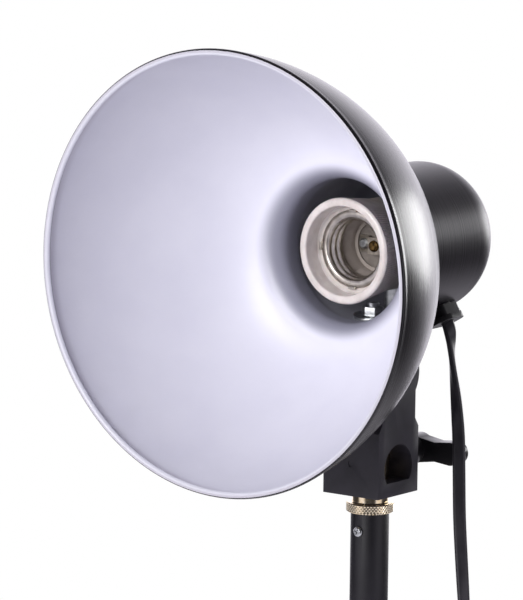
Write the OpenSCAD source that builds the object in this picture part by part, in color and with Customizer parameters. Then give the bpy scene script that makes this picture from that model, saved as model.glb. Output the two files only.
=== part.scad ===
// Studio reflector lamp head: spun bowl and rear cup round a porcelain lamp holder, on a tilting block
// that clamps to the brass spigot of a light stand.
// Millimetres. Z is up, the lamp looks along -Y, the origin is the lower end of the stand's tube.

/* [Stand] */
// Outer diameter of the stand's top tube
tube_d = 16; // [15:0.5:22]
// Wall of the tube
tube_wall = 1.2; // [0.8:0.1:1.6]
// Length of the tube
tube_len = 61.3; // [50:0.1:120]
// Diameter of the brass spigot
spigot_d = 15; // [12:0.5:15.5]
// Diameter of the spigot's knurled collar
collar_d = 20; // [18:0.5:26]
// Height of the collar
collar_h = 4; // [3:0.1:8]
// Bare spigot between the collar and the block
neck_h = 4.3; // [3:0.1:12]

/* [Swivel block] */
// Width and depth of the block
block_w = 28; // [27:0.5:32]
// Height of the block's square foot
block_h = 27.5; // [26:0.5:30]
// Tilt axis above the block's underside
pivot_rise = 50.5; // [50:0.5:60]
// Step from the front and back faces to the waist
waist_step = 2.4; // [1:0.1:3]
// Depth of the spigot's bore
bore_depth = 25; // [23:0.5:27]
// Diameter of the cross hole that takes a spigot sideways
cross_d = 19.6; // [18.4:0.2:20]
// Diameter of the clamp screw
clamp_d = 6; // [5:0.5:7]

/* [Tilt joint] */
// Thickness of the tongue in the fork
tongue_t = 10; // [8:0.5:12]
// Thickness of the saddle under the cup
saddle_t = 6.5; // [5:0.5:10]
// Diameter of the tilt bolt
tilt_d = 6; // [5:0.5:7]
// Tip to tip width of a wing
wing_span = 47.7; // [44:0.1:52]
// Diameter of a wing's hub
wing_hub_d = 12.5; // [11.5:0.5:14]
// Length of a wing's hub
wing_hub_len = 18; // [16:0.5:22]

/* [Reflector and cup] */
// Diameter over the rolled rim
rim_d = 180; // [160:2:200]
// Depth from the rim to the flat round the neck
bowl_depth = 79.3; // [70:0.1:90]
// Fullness of the bowl's curve
bowl_full = 1.55; // [1.4:0.05:1.8]
// Thickness of the spun sheet
sheet_t = 0.8; // [0.6:0.1:1.2]
// Diameter of the rear cup
cup_d = 63; // [61:0.5:70]
// From the stud forward to the neck
neck_fwd = 26.6; // [25:0.1:32]
// From the stud back to the end of the cup
cup_back = 53.2; // [52:0.2:66]
// Radius of the cup's rear corner
cup_round = 20.5; // [12:0.5:22]

/* [Lamp holder] */
// Outer diameter of the porcelain
holder_d = 44; // [42:0.5:48]
// Length of the porcelain
holder_len = 36.5; // [35:0.5:42]
// Inner diameter of the screw shell
shell_d = 26.4; // [26:0.1:27]
// Depth of the porcelain in front of the shell
mouth_depth = 8.6; // [6:0.2:9]

/* [Cord] */
// Width of the flat flex
cord_w = 5.4; // [5:0.1:5.6]
// Thickness of the flat flex
cord_t = 2.6; // [2.5:0.1:2.9]
// Turns in the coil
coil_turns = 9.05; // [8.55:0.5:9.05]
// Middle radius of the coil's largest turn
coil_r = 40; // [38:0.5:44]
// Strain relief's place round the cup, from straight below
gland_ang = 30; // [24:1:38]
// Strain relief's place behind the stud
gland_y = 26.2; // [25:0.1:32]

/* [Hidden] */
$fn = 96;
// Radial clearance where a shaft turns or slides
run_gap = 0.05;
// Clearance between two pieces of one body
fit_gap = 0.05;
// Clearance between bodies that move apart
body_gap = 0.3;
cup_r = cup_d / 2;
cup_in = cup_r - sheet_t;
half_w = block_w / 2;
cheek_r = half_w;
tongue_r = cheek_r - 0.7;
slot_w = tongue_t + 2 * body_gap;
block_z = tube_len + collar_h + neck_h;
pivot_z = block_z + pivot_rise;
saddle_low = cheek_r + 0.6;
lamp_z = pivot_z + saddle_low + saddle_t + cup_r;
bore_r = spigot_d / 2 + run_gap;
spigot_top = block_z + bore_depth - body_gap;
shank_r = tube_d / 2 - tube_wall - fit_gap;
pin_z = tube_len - 7.6;
mark_z = tube_len / 3;
pin_d = 3;
cross_z = 13.6;
hole_z = 11.6;
hole_floor = 5.8;
shoulder_h = 3.5;
insert_d = 10;
insert_len = half_w - cross_d / 2 - 0.5;
pad_t = 2;
pad_y = spigot_d / 2 + body_gap;
screw_y = pad_y + pad_t + body_gap;
wing_y = half_w + 5;
wing_t = 7;
wing_tip_r = 4.9;
wing_waist = 4.1;
hub_end = 3;
hex_h = 4;
hex_d = 10 / cos(30);
washer_t = 1.2;
washer_x = half_w + body_gap;
tilt_wing_x = washer_x + washer_t + body_gap;
saddle_w = 22;
saddle_l = 26;
stud_d = 5;
stud_head_h = 2.8;
stud_head_d = 8 / cos(30);
stud_slot_h = stud_head_h + 2 * fit_gap;
bead_r = 1.4;
rim_f = neck_fwd + bowl_depth;
bowl_r = rim_d / 2 - 0.6;
roll_r = 8;
flange_r = cup_in - fit_gap;
flange_len = 6;
mouth_f = neck_fwd - roll_r + sqrt(pow(roll_r, 2) - pow(roll_r - fit_gap, 2)) - fit_gap;
holder_f = neck_fwd - 4.2;
holder_back = holder_len - holder_f;
holder_r = holder_d / 2;
holder_rear_r = holder_r - 2.7;
shoulder_f = holder_f - mouth_depth;
floor_f = -3;
shell_r = shell_d / 2;
shell_t = 0.45;
shell_flange_r = shell_r + 2.6;
thread_f = 4.2;
bracket_y = holder_back + fit_gap;
bracket_t = 1;
bracket_w = 9;
bracket_foot = 16;
bracket_out = cup_in - fit_gap;
bracket_in = bracket_out - bracket_t;
nut_z = lamp_z - sqrt(pow(bracket_in, 2) - pow(stud_head_d / 2, 2)) + fit_gap;
nut_h = 4;
terminal_x = 13;
terminal_in = 5;
gland_out = 7;
gland_neck_d = 9;
slot_turn = 41;
gland_dir = [sin(gland_ang), 0, -cos(gland_ang)];
gland_side = [-cos(gland_ang), 0, -sin(gland_ang)];
gland_mid = [0, gland_y, lamp_z];
cord_exit = gland_mid + (cup_r + gland_out) * gland_dir;

// Route of the hanging cord from the strain relief: x, y, z and the heading of the flex's wide side
cord_route = [
  [-1.2, 0, 2.1, 45], [0, 0, 0, 45], [1.2, 0, -3.2, 58], [1.9, 0, -7.5, 92], [2.3, 0, -12.5, 119],
  [3.4, -0.1, -20, 136], [5, -0.2, -30.5, 168], [6.3, -0.2, -42, 196], [6.9, -0.2, -50, 208],
  [7.4, -0.2, -65, 216], [8, -0.2, -81.5, 218], [9.3, -0.2, -98.5, 224], [10.7, -0.2, -114.5, 241],
  [11.7, -0.2, -125, 258]
];
bend_at = [12.2, -0.2, -130];
bend_r = 20;
bend_end = 75;
coil_pitch = cord_t + 0.6;
coil_lay = cord_w / 2 + 0.4;
coil_half = 4.5;
coil_rings = 24;
coil_mid = cord_exit + bend_at + [bend_r - bend_r * cos(bend_end) - coil_r * cos(bend_end), coil_lay,
  -bend_r * sin(bend_end) - coil_r * sin(bend_end)];
tail_steps = [[5, -3.3], [11.6, -8.7], [17.6, -16.2], [22.1, -25.2], [24.3, -34.2], [24.6, -39.7]];
plug_sleeve = 20;
plug_len = 34;
plug_w = 35;
plug_t = 13.7;
pin_gap = 18.6;
pin_r = 2;
pin_len = 19;

function unit(v) = v / norm(v);
function mix(p, t) = 0.5 * (2 * p[1] + (p[2] - p[0]) * t + (2 * p[0] - 5 * p[1] + 4 * p[2] - p[3]) * t * t
  + (3 * p[1] - p[0] - 3 * p[2] + p[3]) * t * t * t);
function at(p, i) = p[max(0, min(len(p) - 1, i))];
function smooth(p, n) = [for (i = [0 : len(p) - 2], k = [0 : n - 1])
  mix([at(p, i - 1), p[i], p[i + 1], at(p, i + 2)], k / n), p[len(p) - 1]];
function tangent(p, i) = unit(at(p, i + 1) - at(p, i - 1));
function square_to(v, t) = unit(v - (v * t) * t);
function sign_of(a) = a < 0 ? -1 : 1;
function flat_ring(c, t, wide, sides, turn, w, h) = let (u = square_to(wide, t), v = cross(t, u))
  [for (k = [0 : sides - 1]) let (a = 360 * k / sides + turn)
    c + u * ((w - h) / 2 * sign_of(cos(a)) + h / 2 * cos(a)) + v * (h / 2 * sin(a))];
function tube_faces(rings, n) = concat(
  [for (i = [0 : rings - 2], k = [0 : n - 1]) let (m = (k + 1) % n) [i * n + k, i * n + n + m, i * n + m]],
  [for (i = [0 : rings - 2], k = [0 : n - 1]) let (m = (k + 1) % n) [i * n + k, i * n + n + k, i * n + n + m]],
  [for (k = [1 : n - 2]) [0, k, k + 1]],
  [for (k = [1 : n - 2]) let (b = (rings - 1) * n) [b, b + k + 1, b + k]]);
module tube_along(mids, wides, sides, turn, w, h) {
  rings = [for (i = [0 : len(mids) - 1]) each flat_ring(mids[i], tangent(mids, i), wides[i], sides, turn, w, h)];
  polyhedron(rings, tube_faces(len(mids), sides));
}

function xyz(p) = [p[0], p[1], p[2]];
function heading(a) = [cos(a), sin(a), 0];
function on_gland(p) = gland_mid + (cup_r + p[2]) * gland_dir + p[0] * gland_side + [0, p[1], 0];
bend_points = [for (a = [0 : 12.5 : bend_end])
  [bend_at[0] + bend_r * (1 - cos(a)), bend_at[1], bend_at[2] - bend_r * sin(a), 270]];
drop_points = concat(smooth(cord_route, 3), bend_points);
drop_mids = [for (p = drop_points) cord_exit + xyz(p)];
drop_wides = [for (p = drop_points) heading(p[3])];
function coil_radius(t) = coil_r - coil_pitch * (coil_half - abs(coil_half - t));
function coil_side(t) = t < coil_half - 0.25 ? -1 : t > coil_half + 0.25 ? 1 : sin(360 * (t - coil_half));
function coil_point(t) = let (a = bend_end - 360 * t)
  coil_mid + [coil_radius(t) * cos(a), coil_lay * coil_side(t), coil_radius(t) * sin(a)];
coil_count = round(coil_turns * coil_rings);
coil_loop = [for (i = [0 : coil_count]) coil_point(0.0005 + i * coil_turns / coil_count)];
coil_end = coil_loop[coil_count];
coil_mids = concat(coil_loop, [for (s = tail_steps) coil_end + [s[0], 0, s[1]]]);
plug_top = coil_mids[len(coil_mids) - 1];
coil_cores = [for (p = coil_loop) each [p - [0, (cord_w - cord_t) / 2, 0], p, p + [0, (cord_w - cord_t) / 2, 0]]];
coil_gap = min([for (i = [0 : 3 : len(coil_cores) - 1], j = [i + 36 : len(coil_cores) - 1])
  let (d = norm(coil_cores[i + 1] - coil_cores[j])) if (d < 12)
    min([for (k = [0 : 2]) norm(coil_cores[i + k] - coil_cores[j])]) - cord_t]);
echo(coil_gap = coil_gap);

// Stands children on the lamp's axis, with local Z forward
module on_lamp() {
  translate([0, 0, lamp_z]) rotate([90, 0, 0]) children();
}

// Stands children on the cup where the cord comes out, with local Z away from the cup
module on_cup_side() {
  translate(gland_mid) rotate([0, 180 - gland_ang, 0]) translate([0, 0, cup_r]) children();
}

// Lays children along +X, with their drawing's Y up
module across(width) {
  rotate([90, 0, 90]) linear_extrude(width, center = true) children();
}

module round_rect(w, h, r) {
  square([w - 2 * r, h], center = true);
  square([w, h - 2 * r], center = true);
  for (x = [-1, 1], y = [-1, 1])
    translate([x * (w / 2 - r), y * (h / 2 - r)]) circle(r = r);
}

// Steel tube, drilled for the screw that holds the spigot, with a groove where the next tube stops
module stand_tube() {
  color("#1c1c1f")
    difference() {
      cylinder(h = tube_len, d = tube_d);
      translate([0, 0, -1]) cylinder(h = tube_len + 2, d = tube_d - 2 * tube_wall);
      translate([0, 0, pin_z]) rotate([90, 0, 0]) cylinder(h = tube_d, d = pin_d + 2 * fit_gap);
      translate([0, 0, mark_z])
        difference() {
          cylinder(h = 0.8, d = tube_d + 2);
          translate([0, 0, -1]) cylinder(h = 3, d = tube_d - 0.6);
        }
    }
}

// Turned brass: a shank in the tube, the collar on its end and the spigot in the block
module brass_spigot() {
  top = tube_len + collar_h;
  r = spigot_d / 2;
  color("#b08d3e")
    difference() {
      rotate_extrude()
        polygon([
          [0, tube_len - 22], [shank_r - 1, tube_len - 22], [shank_r, tube_len - 21], [shank_r, tube_len],
          [collar_d / 2 - 0.5, tube_len], [collar_d / 2, tube_len + 0.5], [collar_d / 2, top - 0.5],
          [collar_d / 2 - 0.5, top], [r, top], [r, spigot_top - 1], [r - 1, spigot_top], [0, spigot_top]
        ]);
      translate([0, -2.5, pin_z]) rotate([90, 0, 0]) cylinder(h = tube_d, d = pin_d + 2 * fit_gap);
    }
}

module tube_screw() {
  color("#b9bab8")
    translate([0, 0, pin_z]) rotate([90, 0, 0]) {
      translate([0, 0, 3]) cylinder(h = tube_d / 2 - 2.5, d = pin_d);
      translate([0, 0, tube_d / 2 + fit_gap])
        rotate_extrude() polygon([[0, 0], [2.1, 0], [2.1, 0.6], [1.5, 1.2], [0, 1.2]]);
    }
}

module block_outline() {
  w = half_w - waist_step;
  s = block_h + shoulder_h;
  polygon([
    [-half_w, 0], [half_w, 0], [half_w, block_h], [w, s], [w, pivot_rise], [-w, pivot_rise], [-w, s],
    [-half_w, block_h]
  ]);
  translate([0, pivot_rise]) circle(r = cheek_r);
}

// Round hole with a flat floor, right through from side to side
module cross_hole() {
  across(2 * block_w)
    intersection() {
      translate([0, hole_z]) circle(d = cross_d);
      translate([-cross_d, hole_z - hole_floor]) square([2 * cross_d, 2 * cross_d]);
    }
}

// Moulded block with a fork for the tongue, bored for the spigot from below
module swivel_block() {
  color("#333238")
    translate([0, 0, block_z])
      difference() {
        across(block_w) block_outline();
        translate([0, 0, -1]) cylinder(h = bore_depth + 1, r = bore_r);
        translate([0, 0, -0.01]) cylinder(h = 1, r1 = bore_r + 1, r2 = bore_r);
        cross_hole();
        translate([-slot_w / 2, -block_w, pivot_rise - tongue_r - 1]) cube([slot_w, 2 * block_w, block_w * 2]);
        translate([0, half_w + 1, cross_z]) rotate([90, 0, 0]) cylinder(h = insert_len + 1, d = insert_d + 2 * fit_gap);
        translate([0, half_w, cross_z]) rotate([90, 0, 0]) cylinder(h = half_w, d = clamp_d + 2 * run_gap);
        translate([0, 0, pivot_rise]) rotate([0, 90, 0])
          cylinder(h = 2 * block_w, d = tilt_d + 2 * run_gap, center = true);
        translate([half_w - hex_h - fit_gap, 0, pivot_rise]) rotate([0, 90, 0])
          cylinder(h = hex_h + 1, d = hex_d + 4 * fit_gap, $fn = 6);
        translate([0, -half_w - 1, cross_z]) rotate([-90, 0, 0]) cylinder(h = 1.4, d = 3);
      }
}

module clamp_insert() {
  color("#b08d3e")
    translate([0, half_w, block_z + cross_z]) rotate([90, 0, 0])
      difference() {
        cylinder(h = insert_len - fit_gap, d = insert_d);
        translate([0, 0, -1]) cylinder(h = insert_len + 2, d = clamp_d + 2 * run_gap);
      }
}

module tilt_bolt() {
  color("#a9abad")
    translate([half_w - hex_h, 0, pivot_z]) rotate([0, 90, 0]) {
      cylinder(h = hex_h, d = hex_d, $fn = 6);
      rotate([180, 0, 0]) cylinder(h = half_w - hex_h + tilt_wing_x + wing_hub_len - hub_end - 2, d = tilt_d);
    }
}

// Bears on the spigot at the end of the clamp screw
module clamp_pad() {
  color("#b08d3e")
    translate([0, pad_y, block_z + cross_z]) rotate([-90, 0, 0]) cylinder(h = pad_t, d = clamp_d);
}

module clamp_screw() {
  color("#a9abad")
    translate([0, screw_y, block_z + cross_z]) rotate([-90, 0, 0])
      cylinder(h = wing_y + wing_hub_len - hub_end - screw_y, d = clamp_d);
}

// Two round-ended paddles that start inside the hub
module wing_outline() {
  d = wing_span / 2 - wing_tip_r;
  root = wing_hub_d / 2 - 0.4;
  for (turn = [0, 180])
    rotate(turn) {
      polygon([
        [0, root], [0.35 * d, wing_waist + 0.7], [0.6 * d, wing_waist], [0.8 * d, wing_waist + 0.4], [d, wing_tip_r],
        [d, -wing_tip_r], [0.8 * d, -wing_waist - 0.4], [0.6 * d, -wing_waist], [0.35 * d, -wing_waist - 0.7], [0, -root]
      ]);
      translate([d, 0]) circle(r = wing_tip_r);
    }
}

// Wing with a blind bore in its hub, local Z away from the block
module wing(bore_d) {
  difference() {
    union() {
      cylinder(h = wing_hub_len, d = wing_hub_d);
      translate([0, 0, wing_hub_len - wing_t - 0.5]) linear_extrude(wing_t) wing_outline();
    }
    translate([0, 0, -1]) cylinder(h = wing_hub_len - hub_end + 1 + fit_gap, d = bore_d);
  }
}

module clamp_wing() {
  color("#29282c")
    translate([0, wing_y, block_z + cross_z]) rotate([-90, 0, 0]) wing(clamp_d + 2 * fit_gap);
}

module tilt_washer() {
  color("#a9abad")
    translate([-washer_x, 0, pivot_z]) rotate([0, -90, 0])
      difference() {
        cylinder(h = washer_t, d = tilt_d + 8);
        translate([0, 0, -1]) cylinder(h = washer_t + 2, d = tilt_d + 2 * run_gap);
      }
}

module tilt_wing() {
  color("#29282c")
    translate([-tilt_wing_x, 0, pivot_z]) rotate([0, -90, 0]) rotate([0, 0, 90]) wing(tilt_d + 3 + 2 * fit_gap);
}

module tilt_insert() {
  color("#b08d3e")
    translate([-tilt_wing_x, 0, pivot_z]) rotate([0, -90, 0])
      difference() {
        cylinder(h = wing_hub_len - hub_end - 1, d = tilt_d + 3);
        translate([0, 0, -1]) cylinder(h = wing_hub_len + 2, d = tilt_d + 2 * run_gap);
      }
}

module tongue_outline() {
  circle(r = tongue_r);
  polygon([
    [-tongue_r + 1.5, 0], [tongue_r - 1.5, 0], [saddle_l / 2 - 2, saddle_low + 1],
    [2 - saddle_l / 2, saddle_low + 1]
  ]);
}

// Moulded tongue with a saddle for the cup and a slot that the stud's head slides into
module tilt_tongue() {
  seat = saddle_low + saddle_t;
  head = seat - 5 - fit_gap;
  slot = 8 + 4 * fit_gap;
  color("#2b2a2e")
    difference() {
      translate([0, 0, pivot_z]) {
        across(tongue_t) tongue_outline();
        translate([-saddle_w / 2, -saddle_l / 2, saddle_low]) cube([saddle_w, saddle_l, saddle_t + 3]);
      }
      on_lamp() cylinder(h = 4 * saddle_l, r = cup_r + fit_gap, center = true);
      translate([0, 0, pivot_z]) {
        rotate([0, 90, 0]) cylinder(h = 2 * saddle_w, d = tilt_d + 2 * run_gap, center = true);
        translate([-slot / 2, -saddle_l, head]) cube([slot, saddle_l + stud_head_d / 2 + fit_gap, stud_slot_h]);
        translate([-stud_d / 2 - fit_gap, -saddle_l, head]) cube([stud_d + 2 * fit_gap, saddle_l, saddle_t + 5]);
        translate([0, 0, head]) cylinder(h = saddle_t + 5, d = stud_d + 2 * fit_gap);
      }
    }
}

module head_stud() {
  low = pivot_z + saddle_low + saddle_t - 5;
  color("#a9abad") {
    translate([0, 0, low]) rotate(30) cylinder(h = stud_head_h, d = stud_head_d, $fn = 6);
    translate([0, 0, low]) cylinder(h = nut_z + nut_h + 1.5 - low, d = stud_d);
  }
}

module head_nut() {
  color("#c9cbcc")
    translate([0, 0, nut_z])
      difference() {
        rotate(15) cylinder(h = nut_h, d = stud_head_d, $fn = 6);
        translate([0, 0, -1]) cylinder(h = nut_h + 2, d = stud_d + 2 * fit_gap);
      }
}

function bowl_curve(r, depth, steps) = let (e = 2 / bowl_full, n = flange_r + roll_r)
  [for (i = [1 : steps]) let (a = 90 * i / steps)
    [n + (r - n) * pow(cos(a), e), rim_f - bead_r - depth * pow(sin(a), e)]];
function roll_curve(r) = [for (a = [10 : 10 : 90])
  [flange_r + roll_r - r * sin(a), neck_fwd - roll_r + r * cos(a)]];
function bead_curve() = [for (a = [270 : -15 : -45])
  [rim_d / 2 - bead_r + bead_r * cos(a), rim_f - bead_r + bead_r * sin(a)]];

// Spun sheet: full curve, rolled bead on the rim, collar rolled in to plug the cup's mouth
module reflector_bowl() {
  depth = bowl_depth - bead_r;
  end = neck_fwd - roll_r - flange_len;
  outer = concat(bowl_curve(bowl_r, depth, 30), roll_curve(roll_r), [[flange_r, end]]);
  inner = concat(bowl_curve(bowl_r - sheet_t, depth - sheet_t, 30), roll_curve(roll_r + sheet_t),
    [[flange_r - sheet_t, end]]);
  color("#232326")
    on_lamp()
      rotate_extrude($fn = 180)
        polygon(concat(bead_curve(), outer, [for (i = [len(inner) - 1 : -1 : 0]) inner[i]]));
}

function cup_corner(r) = [for (a = [0 : 7.5 : 90])
  [cup_r - cup_round + r * cos(a), cup_round - cup_back - r * sin(a)]];

// Spun cup with a rounded end, drilled for the stud and the strain relief
module lamp_cup() {
  outer = concat([[cup_r, mouth_f]], cup_corner(cup_round), [[0, -cup_back]]);
  inner = concat([[cup_in, mouth_f]], cup_corner(cup_round - sheet_t), [[0, sheet_t - cup_back]]);
  color("#2a292c")
    difference() {
      on_lamp() rotate_extrude() polygon(concat(outer, [for (i = [len(inner) - 1 : -1 : 0]) inner[i]]));
      translate([0, 0, lamp_z - cup_r - 1]) cylinder(h = 6, d = stud_d + 0.4);
      on_cup_side() translate([0, 0, -4]) cylinder(h = 8, d = gland_neck_d + 2 * fit_gap);
    }
}

// Strain relief bushing: barbed neck in the cup's wall, body and flange outside, slot for the flat flex
module cord_gland() {
  neck = sheet_t + 2.4;
  color("#1d1c1f")
    on_cup_side()
      difference() {
        union() {
          translate([0, 0, -neck]) cylinder(h = neck + 1, d = gland_neck_d);
          translate([0, 0, -neck]) cylinder(h = 1.2, d = gland_neck_d + 1.6);
          translate([0, 0, fit_gap]) linear_extrude(4.8) round_rect(9.5, 12.5, 2);
          translate([0, 0, 4.8]) linear_extrude(gland_out - 4.8) round_rect(11.5, 15.5, 5);
        }
        translate([0, 0, -8]) rotate(slot_turn) linear_extrude(20)
          round_rect(cord_t + 2 * body_gap, cord_w + 2 * body_gap, (cord_t + 2 * body_gap) / 2 - 0.01);
        translate([-3.6, 4.3, -1]) cube([7.2, 6, 5.8]);
      }
}

// Ribbed wedge that grips the flex in the bushing
module gland_wedge() {
  color("#232225")
    on_cup_side()
      difference() {
        across(7) polygon([[4.4, 0.6], [6.1, 0.6], [7.7, 4.7], [4.4, 4.7]]);
        for (z = [1.2, 2.2, 3.2])
          translate([-5, 5.4 + 0.39 * z, z]) cube([10, 2, 0.5]);
      }
}

// Porcelain body: deep mouth, bore for the shell, pockets for the terminals behind
module lamp_holder() {
  e = 1.4;
  lip = [for (a = [0 : 15 : 90]) [holder_r - e + e * cos(a), holder_f - e + e * sin(a)]];
  color("#ece7dc")
    on_lamp()
      difference() {
        rotate_extrude()
          polygon(concat([
            [0, -holder_back], [holder_rear_r - 1, -holder_back], [holder_rear_r, 1 - holder_back],
            [holder_rear_r, 14 - holder_back]
          ], lip, [
            [holder_r - 3.5, holder_f], [holder_r - 3.5, shoulder_f], [shell_r + shell_t + 0.35, shoulder_f],
            [shell_r + shell_t + 0.35, floor_f], [0, floor_f]
          ]));
        for (x = [-terminal_x, terminal_x])
          translate([x - 4, -4.5, -holder_back - 1]) cube([8, 9, terminal_in + 1]);
        for (y = [-8, 8])
          translate([0, y, -holder_back - 1]) cylinder(h = 7, d = 4 + 2 * fit_gap);
        translate([-6.4, 0, floor_f - 5]) cylinder(h = 6, d = 2.5 + 2 * fit_gap);
      }
}

// Edison screw shell: notched flange on the porcelain's shoulder, narrower below the thread
module screw_shell() {
  r = shell_r + shell_t;
  color("#b8b6ae")
    on_lamp()
      difference() {
        rotate_extrude()
          polygon([
            [shell_r, shoulder_f + 0.6], [shell_flange_r, shoulder_f + 0.6], [shell_flange_r, shoulder_f + fit_gap],
            [r, shoulder_f + fit_gap], [r, thread_f], [r - 1.6, thread_f - 3], [r - 1.6, floor_f + fit_gap],
            [shell_r - 3.4, floor_f + fit_gap], [shell_r - 3.4, floor_f + 0.5], [shell_r - 1.6, floor_f + 0.5],
            [shell_r - 1.6, thread_f - 3], [shell_r, thread_f]
          ]);
        for (a = [90 : 90 : 360])
          rotate(a) translate([shell_flange_r - 0.9, -1.5, shoulder_f - 1]) cube([4, 3, 3]);
      }
}

// Bent brass strip that springs against the lamp's end
module centre_contact() {
  b = floor_f + fit_gap;
  color("#c0a050")
    on_lamp()
      difference() {
        rotate([90, 0, 0]) linear_extrude(7, center = true)
          polygon([
            [-8.8, b], [-4, b], [-1.3, 1.4], [4.5, 1.4], [4.5, 2.1], [-1.7, 2.1], [-4.4, b + 0.7],
            [-8.8, b + 0.7]
          ]);
        translate([-6.4, 0, floor_f - 1]) cylinder(h = 3, d = 2.5 + 2 * fit_gap);
        translate([1.4, 0, 0]) cylinder(h = 4, d = 2 + 2 * fit_gap);
      }
}

module contact_rivet() {
  color("#c9a54a")
    on_lamp() translate([1.4, 0, 0.9])
      rotate_extrude()
        polygon([
          [0, 0], [1.8, 0], [1.8, 0.45], [1, 0.45], [1, 1.25], [2.4, 1.25], [2.2, 1.9], [1.4, 2.4], [0, 2.5]
        ]);
}

module contact_screw() {
  b = floor_f + 0.7 + 2 * fit_gap;
  color("#c9a54a")
    on_lamp() translate([-6.4, 0, 0]) {
      translate([0, 0, floor_f - 4.8]) cylinder(h = 6, d = 2.5);
      translate([0, 0, b]) rotate_extrude() polygon([[0, 0], [2.2, 0], [2.2, 0.7], [1.5, 1.3], [0, 1.3]]);
    }
}

// Pressed steel angle: foot curved to the cup with a round end on the stud, upright behind the porcelain
module holder_bracket() {
  far = bracket_y + bracket_t;
  color("#c4c6c8")
    difference() {
      union() {
        intersection() {
          on_lamp()
            difference() {
              cylinder(h = 200, r = bracket_out, center = true);
              cylinder(h = 202, r = bracket_in, center = true);
            }
          translate([0, 0, lamp_z - cup_r])
            linear_extrude(cup_r / 2) {
              circle(d = bracket_foot);
              translate([-bracket_w / 2, 0]) square([bracket_w, far]);
            }
        }
        intersection() {
          on_lamp() cylinder(h = 200, r = bracket_out, center = true);
          translate([-bracket_w / 2, bracket_y, lamp_z - cup_r]) cube([bracket_w, bracket_t, cup_r + 12]);
        }
      }
      translate([0, 0, lamp_z - cup_r]) cylinder(h = 8, d = stud_d + 0.4);
      for (y = [-8, 8])
        on_lamp() translate([0, y, -far - 1]) cylinder(h = bracket_t + 2, d = 4 + 2 * fit_gap);
    }
}

module bracket_screws() {
  color("#c4c6c8")
    for (y = [-8, 8])
      on_lamp() translate([0, y, -bracket_y - bracket_t]) {
        translate([0, 0, -1]) cylinder(h = bracket_t + 6.5, d = 4);
        translate([0, 0, -fit_gap]) rotate([180, 0, 0])
          rotate_extrude() polygon([[0, 0], [3.6, 0], [3.6, 1.2], [2.6, 2.2], [0, 2.2]]);
      }
}

// Brass blocks in the porcelain's rear pockets
module terminals() {
  color("#c0a050")
    for (x = [-terminal_x, terminal_x])
      on_lamp() translate([x, 0, terminal_in - holder_back - fit_gap])
        difference() {
          translate([-3.2, -3.8, -4.4]) cube([6.4, 7.6, 4.4]);
          translate([0, 1.7, -5]) cylinder(h = 4, d = 2.5 + 2 * fit_gap);
          translate([0, -2.1, -5]) cylinder(h = 3.5, d = 2.4);
        }
}

module terminal_screws() {
  color("#a9abad")
    for (x = [-terminal_x, terminal_x])
      on_lamp() translate([x, 1.7, terminal_in - holder_back - 4.5]) {
        translate([0, 0, -0.5]) cylinder(h = 3.5, d = 2.5);
        rotate([180, 0, 0]) rotate_extrude() polygon([[0, 0], [1.9, 0], [1.9, 0.8], [1.3, 1.4], [0, 1.4]]);
      }
}

// One core of the flex from the strain relief to a terminal
module core_wire(side) {
  far = holder_back;
  x = side * terminal_x;
  path = smooth([
    on_gland([-0.9 * side, 1 * side, -2.6]), on_gland([-0.9 * side, 1 * side, -5]), [8 + 5 * side, far + 9, lamp_z - 17],
    [3 + 13 * side, far + 9, lamp_z - 9], [x, far + 5, lamp_z - 3], [x, far + 2, lamp_z - 2.1],
    [x, far - 2, lamp_z - 2.1]
  ], 5);
  tube_along(path, [for (p = path) [1, 0.3, 0.2]], 8, 22.5, 2, 2);
}

module live_wire() {
  color("#7a4a2c") core_wire(1);
}

module return_wire() {
  color("#3d5f92") core_wire(-1);
}

// Flat flex from the strain relief down to its coil
module cord_drop() {
  color("#1a191b") tube_along(drop_mids, drop_wides, 8, 22.5, cord_w, cord_t);
}

// The rest of the flex: in along one layer, out along the next, then down to the plug
module cord_coil() {
  color("#1a191b") tube_along(coil_mids, [for (p = coil_mids) [0, 1, 0]], 6, 0, cord_w, cord_t);
}

// Strap round the turns, beside the place where both ends leave them
module coil_tie() {
  inner = coil_r - coil_pitch * coil_half;
  w = coil_r - inner + cord_t + 2 * body_gap + 0.4;
  h = 2 * coil_lay + cord_w + 2 * body_gap;
  color("#202022")
    translate(coil_mid) rotate([0, -64, 0]) translate([(coil_r + inner) / 2 + 0.7, 0, 0])
      linear_extrude(8, center = true)
        difference() {
          round_rect(w + 2.4, h + 2.4, 2);
          round_rect(w, h, 0.8);
        }
}

// Moulded two-pin plug with a ribbed sleeve
module plug_body() {
  w = plug_w / 2;
  t = plug_t / 2;
  face = [[-w, 0], [2 * t - w - 3, t], [w - 2 * t + 3, t], [w, 0], [w - 2 * t + 3, -t], [2 * t - w - 3, -t]];
  color("#1e1e20")
    translate(plug_top + [0, 0, -fit_gap]) rotate([180, 0, 90])
      difference() {
        union() {
          linear_extrude(plug_sleeve) round_rect(cord_w + 1.6, cord_t + 1.6, 1.8);
          for (z = [0 : 4 : plug_sleeve - 4])
            translate([0, 0, z]) linear_extrude(2.4) round_rect(cord_w + 3.4, cord_t + 3.4, 2.4);
          hull() {
            translate([0, 0, plug_sleeve - 2]) linear_extrude(1) square([14, 10], center = true);
            translate([0, 0, plug_sleeve + 20]) linear_extrude(plug_len - 20) polygon(face);
          }
        }
        for (x = [-1, 1])
          translate([x * pin_gap / 2, 0, plug_sleeve + plug_len - 12]) cylinder(h = 14, r = pin_r + fit_gap);
      }
}

module plug_pins() {
  color("#b9bbbd")
    translate(plug_top + [0, 0, -fit_gap]) rotate([180, 0, 90])
      for (x = [-1, 1])
        translate([x * pin_gap / 2, 0, plug_sleeve + plug_len - 11])
          rotate_extrude()
            polygon([[0, 0], [pin_r, 0], [pin_r, pin_len + 10], [pin_r - 1, pin_len + 11], [0, pin_len + 11]]);
}

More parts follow.
